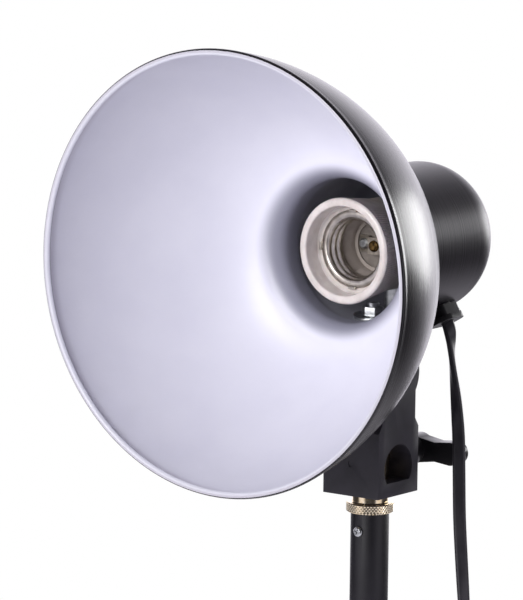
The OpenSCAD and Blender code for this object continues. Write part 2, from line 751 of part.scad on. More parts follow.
stand_tube();
brass_spigot();
tube_screw();
swivel_block();
clamp_insert();
tilt_bolt();
clamp_pad();
clamp_screw();
clamp_wing();
tilt_washer();
tilt_wing();
tilt_insert();
tilt_tongue();
head_stud();
head_nut();
reflector_bowl();
lamp_cup();
cord_gland();
gland_wedge();
lamp_holder();
screw_shell();
centre_contact();
contact_rivet();
contact_screw();
holder_bracket();
bracket_screws();
terminals();
terminal_screws();
live_wire();
return_wire();
cord_drop();
cord_coil();
coil_tie();
plug_body();
plug_pins();
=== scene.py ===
import math

import bmesh
import bpy
from mathutils import Matrix, Vector


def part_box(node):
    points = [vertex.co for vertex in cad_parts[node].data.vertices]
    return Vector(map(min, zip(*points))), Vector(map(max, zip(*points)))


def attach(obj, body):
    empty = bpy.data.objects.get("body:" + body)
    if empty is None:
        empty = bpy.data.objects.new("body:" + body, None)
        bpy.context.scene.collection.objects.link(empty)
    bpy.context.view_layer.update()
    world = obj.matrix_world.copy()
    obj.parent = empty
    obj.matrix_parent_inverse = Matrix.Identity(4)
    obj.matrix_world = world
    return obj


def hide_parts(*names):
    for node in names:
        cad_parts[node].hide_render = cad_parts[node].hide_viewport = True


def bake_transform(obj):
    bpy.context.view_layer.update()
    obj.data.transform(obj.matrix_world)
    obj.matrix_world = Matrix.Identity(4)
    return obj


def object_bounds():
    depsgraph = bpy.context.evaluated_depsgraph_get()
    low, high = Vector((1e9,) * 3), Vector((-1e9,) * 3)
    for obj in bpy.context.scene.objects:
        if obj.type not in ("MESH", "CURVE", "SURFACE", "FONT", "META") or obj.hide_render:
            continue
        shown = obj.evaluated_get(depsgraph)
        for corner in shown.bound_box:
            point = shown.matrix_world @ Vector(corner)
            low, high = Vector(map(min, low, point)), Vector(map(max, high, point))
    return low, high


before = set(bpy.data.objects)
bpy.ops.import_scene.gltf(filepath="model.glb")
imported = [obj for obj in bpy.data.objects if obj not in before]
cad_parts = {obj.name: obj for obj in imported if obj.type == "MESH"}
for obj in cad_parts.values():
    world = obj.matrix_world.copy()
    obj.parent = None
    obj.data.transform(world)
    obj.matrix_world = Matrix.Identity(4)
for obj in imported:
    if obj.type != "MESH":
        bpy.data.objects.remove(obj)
cadLow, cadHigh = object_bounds()
mm = 0.001

cupLow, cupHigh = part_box("lamp_cup")
cupRadius = (cupHigh.x - cupLow.x) / 2
lampZ = (cupHigh.z + cupLow.z) / 2
lampMid = Vector((0, 0, lampZ))
lampForward = Vector((0, -1, 0))
sideways = Vector((1, 0, 0))
print("frame loaded, lamp axis at", round(lampZ / mm, 1), "mm")


# camera, from the rim, the tube and the holder in the picture
cameraSettings = {
    "lookAt": Vector((-44.38, -17.61, 147.33)) * mm,
    "away": 2231.07 * mm,
    "azimuth": math.radians(36.75),
    "elevation": math.radians(9.10),
    "roll": math.radians(0.70),
    "lens": 322.72,
    "sensor": 36,
    "clipEnd": 50,
}


def placeCamera(s):
    a, e, roll = s["azimuth"], s["elevation"], s["roll"]
    right = Vector((math.cos(a), math.sin(a), 0))
    back = Vector((math.sin(a) * math.cos(e), -math.cos(a) * math.cos(e), math.sin(e)))
    up = back.cross(right)
    side = right * math.cos(roll) + up * math.sin(roll)
    top = up * math.cos(roll) - right * math.sin(roll)
    spot = s["lookAt"] + back * s["away"]
    bpy.ops.object.camera_add()
    camera = bpy.context.object
    camera.data.lens = s["lens"]
    camera.data.sensor_width = s["sensor"]
    camera.data.clip_end = s["clipEnd"]
    camera.matrix_world = Matrix((
        (side.x, top.x, back.x, spot.x),
        (side.y, top.y, back.y, spot.y),
        (side.z, top.z, back.z, spot.z),
        (0, 0, 0, 1),
    ))
    bpy.context.scene.camera = camera
    return back


towardCamera = placeCamera(cameraSettings)
print("camera placed")


# nodes and colours
def srgb(hexCode):
    parts = [int(hexCode[i:i + 2], 16) / 255 for i in (1, 3, 5)]
    return [c / 12.92 if c <= 0.04045 else ((c + 0.055) / 1.055) ** 2.4 for c in parts] + [1]


# settings go to a socket or an attribute of that name, and stops to a colour ramp
def addNode(tree, kind, settings=None, links=None):
    node = tree.nodes.new(kind)
    for key, value in (settings or {}).items():
        if key == "stops":
            for stop, (position, colour) in zip(node.color_ramp.elements, value):
                stop.position = position
                stop.color = srgb(colour)
        elif isinstance(key, int) or key in node.inputs:
            node.inputs[key].default_value = value
        else:
            setattr(node, key, value)
    for key, socket in (links or {}).items():
        tree.links.new(socket, node.inputs[key])
    return node


def startMaterial(name, sockets):
    material = bpy.data.materials.new(name)
    material.use_nodes = True
    tree = material.node_tree
    shader = tree.nodes["Principled BSDF"]
    for key, value in sockets.items():
        shader.inputs[key].default_value = value
    place = addNode(tree, "ShaderNodeTexCoord").outputs["Object"]
    return material, tree, shader, place


def joinSockets(tree, shader, colour=None, rough=None, bump=None):
    ends = ((colour, "Color", "Base Color"), (rough, "Result", "Roughness"), (bump, "Normal", "Normal"))
    for node, output, socket in ends:
        if node:
            tree.links.new(node.outputs[output], shader.inputs[socket])


# most of a noise lies between these two, so the colours of a cloud run from one to the other
cloudLow, cloudHigh = 0.35, 0.65

# white stoved enamel: soft satin, faintly violet, with a slight orange peel
# it was sprayed from the front, so it thins out to the grey sheet where the neck rolls in, and that grey is
# also painted shade of the deep neck; the rolled edge is painted a little greyer, as painted shade
# the thin band is narrower above and below the neck than beside it
enamelSettings = {
    "low": "#DBDAE7", "high": "#DFDEEA", "greySheetAndShade": "#8F8F9D", "edge": "#C6C3CF",
    "cloud": 24 * mm, "peel": 1.6 * mm, "relief": 0.015 * mm,
    "fullFrom": 41.5 * mm, "greyAndShadeFrom": 31.5 * mm, "narrower": 0.8,
    "edgeFrom": 87.9 * mm, "edgeAt": 88.7 * mm,
    "sockets": {"Roughness": 0.42, "Coat Weight": 0.08},
}


def makeWhiteEnamel(s):
    material, tree, shader, place = startMaterial("whiteStovedEnamel", s["sockets"])
    cloud = addNode(tree, "ShaderNodeTexNoise", {"Scale": 1 / s["cloud"], "Detail": 3}, {"Vector": place})
    peel = addNode(tree, "ShaderNodeTexNoise", {"Scale": 1 / s["peel"], "Detail": 1}, {"Vector": place})
    colour = addNode(tree, "ShaderNodeValToRGB", {"stops": [(cloudLow, s["low"]), (cloudHigh, s["high"])]},
                     {"Fac": cloud.outputs["Fac"]})
    onAxis = addNode(tree, "ShaderNodeMapping", {"Location": (0, 0, -lampZ)}, {"Vector": place})
    flat = addNode(tree, "ShaderNodeVectorMath", {"operation": "MULTIPLY", 1: (1, 0, 1)},
                   {0: onAxis.outputs["Vector"]})
    outward = addNode(tree, "ShaderNodeVectorMath", {"operation": "LENGTH"}, {0: flat.outputs["Vector"]})
    split = addNode(tree, "ShaderNodeSeparateXYZ", links={"Vector": onAxis.outputs["Vector"]})
    upright = addNode(tree, "ShaderNodeMath", {"operation": "DIVIDE"},
                      {0: split.outputs["Z"], 1: outward.outputs["Value"]})
    square = addNode(tree, "ShaderNodeMath", {"operation": "MULTIPLY"},
                     {0: upright.outputs["Value"], 1: upright.outputs["Value"]})
    steeper = addNode(tree, "ShaderNodeMath", {"operation": "MULTIPLY_ADD", 1: s["narrower"], 2: 1.0},
                      {0: square.outputs["Value"]})
    pastNeck = addNode(tree, "ShaderNodeMath", {"operation": "SUBTRACT", 1: s["greyAndShadeFrom"]},
                       {0: outward.outputs["Value"]})
    reach = addNode(tree, "ShaderNodeMath", {"operation": "MULTIPLY"},
                    {0: pastNeck.outputs["Value"], 1: steeper.outputs["Value"]})
    # the fade to grey at the neck: thinning paint and painted shade of the deep neck
    paintAndShadeCover = addNode(tree, "ShaderNodeMapRange",
                    {"interpolation_type": "SMOOTHSTEP", "From Min": 0.0,
                     "From Max": s["fullFrom"] - s["greyAndShadeFrom"]},
                    {"Value": reach.outputs["Value"]})
    sprayedAndShaded = addNode(tree, "ShaderNodeMix", {"data_type": "RGBA", 6: srgb(s["greySheetAndShade"])},
                      {0: paintAndShadeCover.outputs["Result"], 7: colour.outputs["Color"]})
    # painted shade: the rolled bead is mixed a little greyer than the wall
    atEdge = addNode(tree, "ShaderNodeMapRange",
                     {"interpolation_type": "SMOOTHSTEP", "From Min": s["edgeFrom"], "From Max": s["edgeAt"]},
                     {"Value": outward.outputs["Value"]})
    edged = addNode(tree, "ShaderNodeMix", {"data_type": "RGBA", 7: srgb(s["edge"])},
                    {0: atEdge.outputs["Result"], 6: sprayedAndShaded.outputs[2]})
    bump = addNode(tree, "ShaderNodeBump", {"Distance": s["relief"]}, {"Height": peel.outputs["Fac"]})
    tree.links.new(edged.outputs[2], shader.inputs["Base Color"])
    joinSockets(tree, shader, None, None, bump)
    return material


# spun sheet: lines that run round the lamp's axis, however far along the profile they are
def makeSpunSheet(name, s):
    material, tree, shader, place = startMaterial(name, s["sockets"])
    onAxis = addNode(tree, "ShaderNodeMapping", {"Location": (0, 0, -lampZ)}, {"Vector": place})
    flat = addNode(tree, "ShaderNodeVectorMath", {"operation": "MULTIPLY", 1: (1, 0, 1)},
                   {0: onAxis.outputs["Vector"]})
    outward = addNode(tree, "ShaderNodeVectorMath", {"operation": "LENGTH"}, {0: flat.outputs["Vector"]})
    split = addNode(tree, "ShaderNodeSeparateXYZ", links={"Vector": onAxis.outputs["Vector"]})
    along = addNode(tree, "ShaderNodeMath", {"operation": "SUBTRACT"},
                    {0: outward.outputs["Value"], 1: split.outputs["Y"]})
    lines = addNode(tree, "ShaderNodeTexNoise",
                    {"noise_dimensions": "1D", "Scale": 1 / s["line"], "Detail": 3, "Roughness": 0.6},
                    {"W": along.outputs["Value"]})
    colour = addNode(tree, "ShaderNodeValToRGB", {"stops": [(0.3, s["low"]), (0.7, s["high"])]},
                     {"Fac": lines.outputs["Fac"]})
    rough = addNode(tree, "ShaderNodeMapRange", {"To Min": s["smooth"], "To Max": s["dull"]},
                    {"Value": lines.outputs["Fac"]})
    bump = addNode(tree, "ShaderNodeBump", {"Distance": s["relief"]}, {"Height": lines.outputs["Fac"]})
    joinSockets(tree, shader, colour, rough, bump)
    return material


# black satin lacquer on the bowl: the spinning marks show through it as faint rings
# black anodised cup: brushed round, so its highlight breaks into fine lines
# both are drawn coarser than the real marks, so that they show
spunSettings = {
    "blackLacquerOnSpunAluminium": {
        "low": "#0F0D11", "high": "#1A171C", "line": 0.9 * mm, "smooth": 0.21, "dull": 0.31,
        "relief": 0.02 * mm, "sockets": {"Specular IOR Level": 0.42},
    },
    "blackAnodisedSpunCup": {
        "low": "#18161A", "high": "#36323A", "line": 0.8 * mm, "smooth": 0.26, "dull": 0.46,
        "relief": 0.05 * mm, "sockets": {"Metallic": 0.35},
    },
}

# glazed porcelain: warm white and glossy over a slightly uneven body
# deep in the well it is a matt grey-brown, painted shade of the well
porcelainSettings = {
    "glazedPorcelain": {"low": "#C8BFBA", "high": "#D8D0CC", "cloud": 5 * mm, "relief": 0.03 * mm,
                        "sockets": {"Roughness": 0.2, "Coat Weight": 0.35, "Coat Roughness": 0.12,
                                    "Subsurface Weight": 0.06, "Subsurface Scale": 1.5 * mm}},
    "brownedPorcelain": {"low": "#6A625D", "high": "#7A726C", "cloud": 3 * mm, "relief": 0.04 * mm,
                         "sockets": {"Roughness": 0.7}},
}


def makePorcelain(name, s):
    material, tree, shader, place = startMaterial(name, s["sockets"])
    cloud = addNode(tree, "ShaderNodeTexNoise", {"Scale": 1 / s["cloud"], "Detail": 4}, {"Vector": place})
    colour = addNode(tree, "ShaderNodeValToRGB", {"stops": [(cloudLow, s["low"]), (cloudHigh, s["high"])]},
                     {"Fac": cloud.outputs["Fac"]})
    bump = addNode(tree, "ShaderNodeBump", {"Distance": s["relief"]}, {"Height": cloud.outputs["Fac"]})
    joinSockets(tree, shader, colour, None, bump)
    return material


# bare and plated metals: a cloud of tarnish in colour and gloss, and the grain that the tool or the bath left
metalSettings = {
    # turned on a lathe and a little worn: bright, pale gold
    "turnedBrass": {"low": "#D6C29C", "high": "#EFE2C8", "grain": 2.5 * mm, "smooth": 0.14, "dull": 0.24,
                    "relief": 0.01 * mm},
    # punched strip with a tin wash: grey with a warm cast
    "tinnedBrass": {"low": "#7A736A", "high": "#968F84", "grain": 1.8 * mm, "smooth": 0.3, "dull": 0.45,
                    "relief": 0.02 * mm},
    # rolled thread under nickel: warm grey, soft mirror
    "nickelPlatedBrass": {"low": "#A8A29A", "high": "#C2BCB4", "grain": 3 * mm, "smooth": 0.24, "dull": 0.36,
                          "relief": 0.01 * mm},
    # pressings and nuts from a zinc bath: cold and bright with a faint spangle
    "zincPlatedSteel": {"low": "#A6A9AB", "high": "#CDCFD1", "grain": 2 * mm, "smooth": 0.24, "dull": 0.42,
                        "relief": 0.015 * mm},
    # the contact's rivet and screw: brass in a dark brown
    "heatedBrass": {"low": "#241B10", "high": "#6B5533", "grain": 1.5 * mm, "smooth": 0.3, "dull": 0.5,
                    "relief": 0.02 * mm},
    # bolts and screws: darker and oilier
    "boltSteel": {"low": "#8F9193", "high": "#B4B6B8", "grain": 1.5 * mm, "smooth": 0.28, "dull": 0.45,
                  "relief": 0.02 * mm},
}


# knurl of the collar, by the distance from the axis: a painted highlight on the crests and painted shade in the
# grooves
knurlSettings = {"groove": "#A88A5A", "crest": "#FFF3D8", "low": 9.62 * mm, "high": 9.72 * mm, "smooth": 0.2}


def makeKnurlShadeAndHighlightBrass(s):
    material, tree, shader, place = startMaterial("knurlShadeAndHighlightBrass", {"Metallic": 1.0, "Roughness": s["smooth"]})
    flat = addNode(tree, "ShaderNodeVectorMath", {"operation": "MULTIPLY", 1: (1, 1, 0)}, {0: place})
    outward = addNode(tree, "ShaderNodeVectorMath", {"operation": "LENGTH"}, {0: flat.outputs["Vector"]})
    height = addNode(tree, "ShaderNodeMapRange", {"From Min": s["low"], "From Max": s["high"]},
                     {"Value": outward.outputs["Value"]})
    colour = addNode(tree, "ShaderNodeValToRGB", {"stops": [(0, s["groove"]), (1, s["crest"])]},
                     {"Fac": height.outputs["Result"]})
    joinSockets(tree, shader, colour)
    return material


def makeMetal(name, s):
    material, tree, shader, place = startMaterial(name, {"Metallic": 1.0})
    cloud = addNode(tree, "ShaderNodeTexNoise", {"Scale": 1 / s["grain"], "Detail": 4}, {"Vector": place})
    colour = addNode(tree, "ShaderNodeValToRGB", {"stops": [(cloudLow, s["low"]), (cloudHigh, s["high"])]},
                     {"Fac": cloud.outputs["Fac"]})
    rough = addNode(tree, "ShaderNodeMapRange", {"To Min": s["smooth"], "To Max": s["dull"]},
                    {"Value": cloud.outputs["Fac"]})
    bump = addNode(tree, "ShaderNodeBump", {"Distance": s["relief"]}, {"Height": cloud.outputs["Fac"]})
    joinSockets(tree, shader, colour, rough, bump)
    return material


# plastics and paints: colour and gloss drift a little over the piece,
# and the grit is the mould's or the paint's own
driftSize = 12 * mm
plasticSettings = {
    # glass-filled nylon from a sparked mould: matt and slightly violet
    "glassFilledNylon": {"low": "#2B2931", "high": "#35323C", "grit": 0.7 * mm, "smooth": 0.46, "dull": 0.6,
                         "relief": 0.03 * mm},
    # plain nylon wings, polished by fingers
    "mouldedNylon": {"low": "#19181B", "high": "#222124", "grit": 0.9 * mm, "smooth": 0.25, "dull": 0.36,
                     "relief": 0.015 * mm},
    # nylon of the flex's bushing
    "bushingNylon": {"low": "#151417", "high": "#1E1D20", "grit": 0.8 * mm, "smooth": 0.35, "dull": 0.5,
                     "relief": 0.015 * mm},
    # stoved paint on the tube: near black, satin
    "blackStovedPaint": {"low": "#121017", "high": "#19171F", "grit": 1.2 * mm, "smooth": 0.42, "dull": 0.52,
                         "relief": 0.01 * mm},
    # thin grey coat inside the cup
    "greyPrimer": {"low": "#8C8C96", "high": "#9A9AA4", "grit": 1.5 * mm, "smooth": 0.5, "dull": 0.6,
                   "relief": 0.01 * mm},
    # extruded vinyl of the flex: soft sheen along each core
    "extrudedVinyl": {"low": "#2A282E", "high": "#343238", "grit": 1.4 * mm, "smooth": 0.34, "dull": 0.46,
                      "relief": 0.012 * mm},
    # vinyl of the plug
    "mouldedVinyl": {"low": "#161618", "high": "#1F1F22", "grit": 0.9 * mm, "smooth": 0.4, "dull": 0.52,
                     "relief": 0.015 * mm},
    # the foot of the shell: a matt grey-brown, painted shade of the deep well
    "oxidisedNickel": {"low": "#948A84", "high": "#A59B94", "grit": 0.6 * mm, "smooth": 0.5, "dull": 0.65,
                       "relief": 0.02 * mm},
    # insulation of the two cores
    "brownVinyl": {"low": "#6B3F25", "high": "#7C4B2E", "grit": 1.4 * mm, "smooth": 0.4, "dull": 0.5,
                   "relief": 0.01 * mm},
    "blueVinyl": {"low": "#35578B", "high": "#41669C", "grit": 1.4 * mm, "smooth": 0.4, "dull": 0.5,
                  "relief": 0.01 * mm},
}


def makePlastic(name, s):
    material, tree, shader, place = startMaterial(name, {})
    cloud = addNode(tree, "ShaderNodeTexNoise", {"Scale": 1 / driftSize, "Detail": 3}, {"Vector": place})
    grit = addNode(tree, "ShaderNodeTexNoise", {"Scale": 1 / s["grit"], "Detail": 2}, {"Vector": place})
    colour = addNode(tree, "ShaderNodeValToRGB", {"stops": [(cloudLow, s["low"]), (cloudHigh, s["high"])]},
                     {"Fac": cloud.outputs["Fac"]})
    rough = addNode(tree, "ShaderNodeMapRange", {"To Min": s["smooth"], "To Max": s["dull"]},
                    {"Value": cloud.outputs["Fac"]})
    bump = addNode(tree, "ShaderNodeBump", {"Distance": s["relief"]}, {"Height": grit.outputs["Fac"]})
    joinSockets(tree, shader, colour, rough, bump)
    return material


# woven nylon strap: a plain weave of 0.8 mm threads, dull with a little sheen
strapSettings = {
    "low": "#151517", "high": "#2A2A2D", "thread": 0.8 * mm, "relief": 0.15 * mm,
    "sockets": {"Roughness": 0.75, "Sheen Weight": 0.3},
}
waveLength = 0.314  # one band of the wave texture at scale 1


def makeStrapWeave(s):
    material, tree, shader, place = startMaterial("wovenNylonStrap", s["sockets"])
    bands = waveLength / s["thread"]
    warp = addNode(tree, "ShaderNodeTexWave", {"bands_direction": "Y", "Scale": bands}, {"Vector": place})
    weft = addNode(tree, "ShaderNodeTexWave", {"bands_direction": "DIAGONAL", "Scale": bands},
                   {"Vector": place})
    weave = addNode(tree, "ShaderNodeMath", {"operation": "MULTIPLY"},
                    {0: warp.outputs["Fac"], 1: weft.outputs["Fac"]})
    colour = addNode(tree, "ShaderNodeValToRGB", {"stops": [(0.1, s["low"]), (0.9, s["high"])]},
                     {"Fac": weave.outputs["Value"]})
    bump = addNode(tree, "ShaderNodeBump", {"Distance": s["relief"]}, {"Height": weave.outputs["Value"]})
    joinSockets(tree, shader, colour, None, bump)
    return material


finish = {
    "whiteStovedEnamel": makeWhiteEnamel(enamelSettings),
    "wovenNylonStrap": makeStrapWeave(strapSettings),
    "knurlShadeAndHighlightBrass": makeKnurlShadeAndHighlightBrass(knurlSettings),
}
makers = [(makeSpunSheet, spunSettings), (makePorcelain, porcelainSettings),
          (makeMetal, metalSettings), (makePlastic, plasticSettings)]
for make, table in makers:
    for name, settings in table.items():
        finish[name] = make(name, settings)
print("materials made")


# editing helpers
mergeSettings = {"spun": 0.005 * mm, "cad": 0.002 * mm, "flatWithin": math.radians(1.5)}


def deselectAll():
    if bpy.context.object and bpy.context.object.mode != "OBJECT":
        bpy.ops.object.mode_set(mode="OBJECT")
    bpy.ops.object.select_all(action="DESELECT")


def pickOnly(piece):
    deselectAll()
    piece.select_set(True)
    bpy.context.view_layer.objects.active = piece


def chooseVerts(piece, test):
    bm = bmesh.from_edit_mesh(piece.data)
    for vert in bm.verts:
        vert.select = test(vert.co)
    bm.select_flush_mode()
    bmesh.update_edit_mesh(piece.data)


def applyModifier(piece, kind, settings):
    pickOnly(piece)
    bpy.ops.object.modifier_add(type=kind)
    modifier = piece.modifiers[-1]
    for key, value in settings.items():
        setattr(modifier, key, value)
    bpy.ops.object.modifier_apply(modifier=modifier.name)


def smoothEdges(piece, angle=35):
    pickOnly(piece)
    bpy.ops.object.shade_smooth_by_angle(angle=math.radians(angle))


# a profile of (radius, distance along) drawn point by point and spun round its axis
def spinProfile(name, profile, steps, middle, axis, outward):
    points = [middle + axis * along + outward * radius for radius, along in profile]
    deselectAll()
    bpy.ops.mesh.primitive_plane_add(size=mm)
    piece = bpy.context.object
    piece.name = name
    bpy.ops.object.mode_set(mode="EDIT")
    bpy.ops.mesh.select_mode(type="VERT")
    bpy.ops.mesh.merge(type="CENTER")
    bpy.ops.transform.translate(value=points[0])
    for here, there in zip(points, points[1:]):
        bpy.ops.mesh.extrude_region_move(TRANSFORM_OT_translate={"value": there - here})
    bpy.ops.mesh.select_all(action="SELECT")
    bpy.ops.mesh.spin(steps=steps, angle=2 * math.pi, center=middle, axis=axis)
    bpy.ops.mesh.select_all(action="SELECT")
    bpy.ops.mesh.remove_doubles(threshold=mergeSettings["spun"])
    bpy.ops.mesh.normals_make_consistent(inside=False)
    bpy.ops.object.mode_set(mode="OBJECT")
    return piece


# a merged copy of a CAD node, with its edges softened
def softenedCopy(node, name, width, segments=3, angle=32):
    deselectAll()
    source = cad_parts[node]
    piece = source.copy()
    piece.data = source.data.copy()
    piece.name = name
    piece.parent = None
    piece.matrix_world = Matrix.Identity(4)
    for key in list(piece.keys()):
        del piece[key]
    bpy.context.scene.collection.objects.link(piece)
    pickOnly(piece)
    if piece.data.has_custom_normals:
        bpy.ops.mesh.customdata_custom_splitnormals_clear()
    bpy.ops.object.mode_set(mode="EDIT")
    bpy.ops.mesh.select_all(action="SELECT")
    bpy.ops.mesh.remove_doubles(threshold=mergeSettings["cad"])
    bpy.ops.mesh.dissolve_limited(angle_limit=mergeSettings["flatWithin"])
    bpy.ops.object.mode_set(mode="OBJECT")
    if width:
        applyModifier(piece, "BEVEL", {"width": width, "segments": segments, "limit_method": "ANGLE",
                                       "angle_limit": math.radians(angle), "use_clamp_overlap": True,
                                       "harden_normals": False})
    smoothEdges(piece, 40)
    return piece


def dressPiece(piece, body, nodes, slot, *materials):
    piece.data.materials.clear()
    for material in materials:
        piece.data.materials.append(material)
    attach(piece, body)
    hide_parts(*nodes)
    return piece


# flex: flat twin, out of the bushing, down past the block, into a tied coil and to the plug
flexSettings = {
    "width": 5.4 * mm,
    "thickness": 2.6 * mm,
    "waist": 0.38,
    "waistWidth": 0.45,
    "exit": Vector((19.25, 26.2, 139.358)) * mm,
    "route": [
        (-1.2, 0, 2.1, 45), (0, 0, 0, 45), (1.2, 0, -3.2, 58), (1.9, 0, -7.5, 92), (2.3, 0, -12.5, 119),
        (3.4, -0.1, -20, 136), (5, -0.2, -30.5, 168), (6.3, -0.2, -42, 196), (6.9, -0.2, -50, 208),
        (7.4, -0.2, -65, 216), (8, -0.2, -81.5, 218), (9.3, -0.2, -98.5, 224), (10.7, -0.2, -114.5, 241),
        (11.7, -0.2, -125, 258),
    ],  # x, y and z in mm from the exit, and the way its width runs in degrees
    "routeParts": 4,
    "followsHeadTo": Vector((0, 0, -4 * mm)),
    "followsBlockFrom": Vector((7 * mm, 0, -62 * mm)),
    "bendAt": (12.2, -0.2, -130),
    "bendRadius": 20,
    "bendEnd": 75,
    "bendSteps": 12,
    "coilRadius": 40,
    "coilTurns": 9.05,
    "coilHalf": 4.5,
    "coilPitch": 3.2,
    "coilLay": 3.1,
    "crossOver": 0.25,
    "ringsPerTurn": 36,
    "tail": [(5, -3.3), (11.6, -8.7), (17.6, -16.2), (22.1, -25.2), (24.3, -34.2), (24.6, -39.7)],
    "tailParts": 3,
    "sides": 28,
    "length": 2.0,
}


# a curve that passes through all of the points
def smoothThrough(points, parts):
    at = lambda i: Vector(points[max(0, min(len(points) - 1, i))])
    out = []
    for i in range(len(points) - 1):
        a, b, c, d = at(i - 1), at(i), at(i + 1), at(i + 2)
        for k in range(parts):
            t = k / parts
            out.append(0.5 * (2 * b + (c - a) * t + (2 * a - 5 * b + 4 * c - d) * t * t
                              + (3 * b - a - 3 * c + d) * t ** 3))
    out.append(at(len(points) - 1))
    return out


def flexPath(s):
    mids = []
    wides = []
    for p in smoothThrough(s["route"], s["routeParts"]):
        mids.append(s["exit"] + Vector(p[:3]) * mm)
        wides.append(Vector((math.cos(math.radians(p[3])), math.sin(math.radians(p[3])), 0)))
    across = Vector((0, -1, 0))
    bendAt, r = Vector(s["bendAt"]), s["bendRadius"]
    for k in range(s["bendSteps"] + 1):
        a = math.radians(s["bendEnd"] * k / s["bendSteps"])
        mids.append(s["exit"] + (bendAt + Vector((r - r * math.cos(a), 0, -r * math.sin(a)))) * mm)
        wides.append(across)
    end = math.radians(s["bendEnd"])
    reach = r + s["coilRadius"]
    coilMid = s["exit"] + (bendAt + Vector((r - reach * math.cos(end), s["coilLay"],
                                            -reach * math.sin(end)))) * mm
    count = round(s["coilTurns"] * s["ringsPerTurn"])
    for i in range(1, count + 1):
        t = s["coilTurns"] * i / count
        a = end - 2 * math.pi * t
        radius = s["coilRadius"] - s["coilPitch"] * (s["coilHalf"] - abs(s["coilHalf"] - t))
        swing = max(-s["crossOver"], min(s["crossOver"], t - s["coilHalf"]))
        side = math.sin(2 * math.pi * swing)
        mids.append(coilMid + Vector((radius * math.cos(a), s["coilLay"] * side, radius * math.sin(a))) * mm)
        wides.append(across)
    last = mids[-1]
    tail = [tuple(mids[-2]), tuple(last)] + [tuple(last + Vector((x, 0, z)) * mm) for x, z in s["tail"]]
    for p in smoothThrough(tail, s["tailParts"])[s["tailParts"] + 1:]:
        mids.append(p)
        wides.append(across)
    return mids, wides


def buildFlex(s):
    mids, wides = flexPath(s)
    half, straight = s["thickness"] / 2, (s["width"] - s["thickness"]) / 2
    bm = bmesh.new()
    rings = []
    for i, mid in enumerate(mids):
        way = (mids[min(i + 1, len(mids) - 1)] - mids[max(i - 1, 0)]).normalized()
        u = (wides[i] - wides[i].dot(way) * way).normalized()
        v = way.cross(u)
        ring = []
        for k in range(s["sides"]):
            a = 2 * math.pi * (k + 0.5) / s["sides"]
            x = math.copysign(straight, math.cos(a)) + half * math.cos(a)
            y = half * math.sin(a) * (1 - s["waist"] * math.exp(-(x / (s["waistWidth"] * straight)) ** 2))
            ring.append(bm.verts.new(mid + u * x + v * y))
        rings.append(ring)
    for first, second in zip(rings, rings[1:]):
        for k in range(s["sides"]):
            m = (k + 1) % s["sides"]
            bm.faces.new((first[k], first[m], second[m], second[k]))
    bm.faces.new(rings[0][::-1])
    bm.faces.new(rings[-1])
    bmesh.ops.recalc_face_normals(bm, faces=bm.faces)
    mesh = bpy.data.meshes.new("flatFlex")
    bm.to_mesh(mesh)
    bm.free()
    piece = bpy.data.objects.new("flatFlex", mesh)
    bpy.context.scene.collection.objects.link(piece)
    smoothEdges(piece, 60)
    piece.data.materials.append(finish["extrudedVinyl"])
    return piece, mids


flex, flexMids = buildFlex(flexSettings)
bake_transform(flex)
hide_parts("cord_drop", "cord_coil")
plug = dressPiece(softenedCopy("plug_body", "flexPlug", 0.5 * mm),
                  "swivel", ["plug_body"], "plug", finish["mouldedVinyl"])
strap = dressPiece(softenedCopy("coil_tie", "coilStrap", 0.35 * mm, 2),
                   "swivel", ["coil_tie"], "tie", finish["wovenNylonStrap"])
print("flex laid,", len(flexMids), "rings")


# reflector bowl: spun sheet with a rolled bead, white inside and black outside
rimLow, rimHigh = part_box("reflector_bowl")
bowlSettings = {
    "rimRadius": (rimHigh.x - rimLow.x) / 2,
    "rim": -rimLow.y,
    "bead": 1.4 * mm,
    "sheet": 0.8 * mm,
    "inset": 0.6 * mm,
    "neck": 26.6 * mm,
    "flange": cupRadius - 0.85 * mm,  # the cup's sheet and a little play
    "flangeLength": 6 * mm,
    "roll": 8 * mm,
    "full": 1.55,
    "beadTurn": range(270, -46, -15),
    "rollTurn": range(6, 91, 7),
    "curveSteps": 40,
    "spinSteps": 168,
    "paintForward": 0.8,
    "paintInward": 0.6,
    "paintAbove": 0.4,
}


def bowlCurve(s, radius, depth):
    neckRadius = s["flange"] + s["roll"]
    out = []
    for i in range(1, s["curveSteps"] + 1):
        a = math.pi / 2 * i / s["curveSteps"]
        out.append((neckRadius + (radius - neckRadius) * max(0, math.cos(a)) ** (2 / s["full"]),
                    s["rim"] - s["bead"] - depth * math.sin(a) ** (2 / s["full"])))
    return out


def rollCurve(s, radius):
    turns = [math.radians(a) for a in s["rollTurn"]]
    return [(s["flange"] + s["roll"] - radius * math.sin(a), s["neck"] - s["roll"] + radius * math.cos(a))
            for a in turns]


def buildBowl(s):
    depth = s["rim"] - s["neck"] - s["bead"]
    wall = s["rimRadius"] - s["inset"]
    end = s["neck"] - s["roll"] - s["flangeLength"]
    bead = [(s["rimRadius"] - s["bead"] + s["bead"] * math.cos(math.radians(a)),
             s["rim"] - s["bead"] + s["bead"] * math.sin(math.radians(a))) for a in s["beadTurn"]]
    outer = bowlCurve(s, wall, depth) + rollCurve(s, s["roll"]) + [(s["flange"], end)]
    inner = (bowlCurve(s, wall - s["sheet"], depth - s["sheet"]) + rollCurve(s, s["roll"] + s["sheet"])
             + [(s["flange"] - s["sheet"], end)])
    profile = bead[::-1] + inner + outer[::-1]
    piece = spinProfile("reflectorBowl", profile + profile[:1], s["spinSteps"], lampMid, lampForward, sideways)
    smoothEdges(piece, 50)
    dressPiece(piece, "head", ["reflector_bowl"], "reflector",
               finish["whiteStovedEnamel"], finish["blackLacquerOnSpunAluminium"])
    for face in piece.data.polygons:
        outward = face.center - lampMid
        outward.y = 0
        outward.normalize()
        facing = s["paintForward"] * face.normal.dot(lampForward) - s["paintInward"] * face.normal.dot(outward)
        face.material_index = 0 if facing > s["paintAbove"] else 1
    return piece


buildBowl(bowlSettings)
print("bowl spun")


